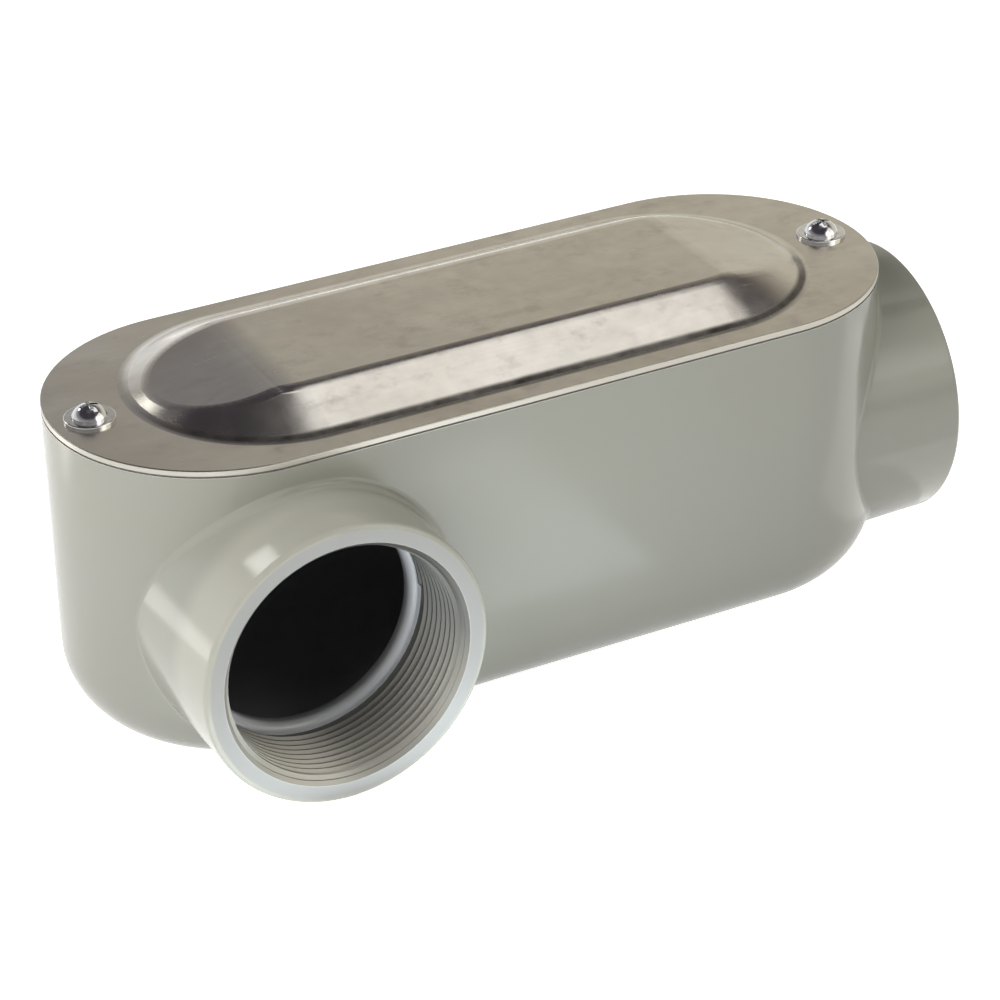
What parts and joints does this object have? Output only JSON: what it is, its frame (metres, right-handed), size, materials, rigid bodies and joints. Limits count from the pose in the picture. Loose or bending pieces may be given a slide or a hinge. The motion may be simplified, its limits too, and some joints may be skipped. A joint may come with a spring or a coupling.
{
  "type": "conduit body",
  "caption": "L-shaped cast conduit body with a threaded hub at its end and one on its side, and a raised-panel cover held by two screws.",
  "frame": {"origin": "centre of the casting's flat back face, midway along and across the box", "axes": "+X along the box towards the end hub, -Y towards the side hub, +Z towards the cover"},
  "size_m": [0.2224, 0.1007, 0.0868],
  "materials": {
    "enamelled_casting": "glossy light grey enamel on cast aluminium",
    "gasket_rubber": "dark grey sheet rubber",
    "cover_sheet": "satin mill finish",
    "bright_plate": "bright plated steel"
  },
  "bodies": {
    "casting": {"body": "enamelled_casting", "cover_gasket": "gasket_rubber"},
    "cover": {"cover": "cover_sheet"},
    "left_washer": {"screw_washer_left": "bright_plate"},
    "left_screw": {"cover_screw_left": "bright_plate"},
    "right_washer": {"screw_washer_right": "bright_plate"},
    "right_screw": {"cover_screw_right": "bright_plate"}
  },
  "joints": [
    {"name": "cover_lift", "type": "slide", "parent": "casting", "child": "cover", "axis": [0, 0, 1], "range_m": [0, 0.05]},
    {"name": "left_screw_rise", "type": "slide", "parent": "cover", "child": "left_washer", "axis": [0, 0, 1], "range_m": [0, 0.00714]},
    {"name": "left_screw_turn", "type": "hinge", "parent": "left_washer", "child": "left_screw", "pos_m": [-0.09675, 0, 0.082], "axis": [0, 0, 1], "range_deg": [0, 3241]},
    {"name": "right_screw_rise", "type": "slide", "parent": "cover", "child": "right_washer", "axis": [0, 0, 1], "range_m": [0, 0.00714]},
    {"name": "right_screw_turn", "type": "hinge", "parent": "right_washer", "child": "right_screw", "pos_m": [0.09675, 0, 0.082], "axis": [0, 0, 1], "range_deg": [0, 3241]}
  ],
  "couplings": [
    {"joint": "left_screw_turn", "follows": "left_screw_rise", "rad_per_m": 7915.8},
    {"joint": "right_screw_turn", "follows": "right_screw_rise", "rad_per_m": 7915.8}
  ]
}
